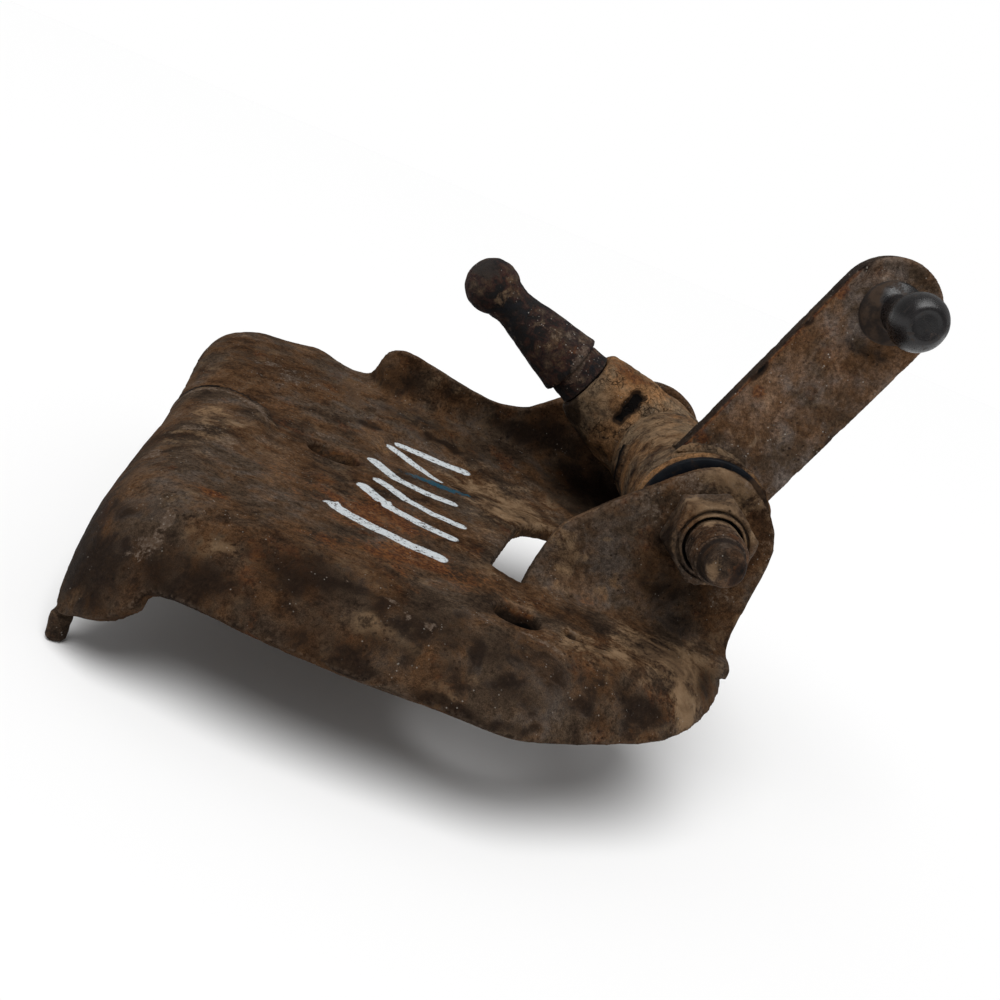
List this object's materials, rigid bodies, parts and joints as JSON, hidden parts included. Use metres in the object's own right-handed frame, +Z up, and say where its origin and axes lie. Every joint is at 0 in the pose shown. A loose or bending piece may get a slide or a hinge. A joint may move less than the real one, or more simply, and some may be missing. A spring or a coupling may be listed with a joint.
{
  "type": "pivot bracket with bell-crank lever",
  "caption": "Pressed steel bracket with two ears that carries a swinging bell-crank lever with a riveted ball stud and a ball-ended finger.",
  "frame": {"origin": "centre of the near bolt hole, on the underside of the plate", "axes": "+Z up out of the plate, +Y from the nut's ear to the bolt head's ear along the pivot, +X from the plate towards the ears' side"},
  "size_m": [0.1706, 0.1764, 0.1341],
  "materials": {
    "rusty_plate": "dirty rusted steel sheet",
    "fastener_steel": "dirty plated steel",
    "spacer_steel": "turned steel",
    "washer_polymer": "dark blue-grey polymer",
    "bush_bronze": "sintered bronze",
    "dusty_steel": "steel under tan dust",
    "arm_steel": "dirty steel bar",
    "stud_steel": "dark polished steel",
    "greasy_steel": "steel under black grease"
  },
  "bodies": {
    "bracket_body": {"bracket": "rusty_plate", "locating_peg": "rusty_plate", "pivot_bolt": "fastener_steel", "pivot_nut": "fastener_steel", "spacer_tube": "spacer_steel", "thrust_washer_front": "washer_polymer", "thrust_washer_rear": "washer_polymer"},
    "lever": {"sleeve": "dusty_steel", "bush_front": "bush_bronze", "bush_rear": "bush_bronze", "arm_plate": "arm_steel", "ball_stud": "stud_steel", "finger_boss": "dusty_steel", "ball_finger": "greasy_steel"}
  },
  "joints": [
    {"name": "lever_pivot", "type": "hinge", "parent": "bracket_body", "child": "lever", "pos_m": [0.036, 0.07775, 0.0283], "axis": [0, 1, 0], "range_deg": [-25, 45]}
  ]
}
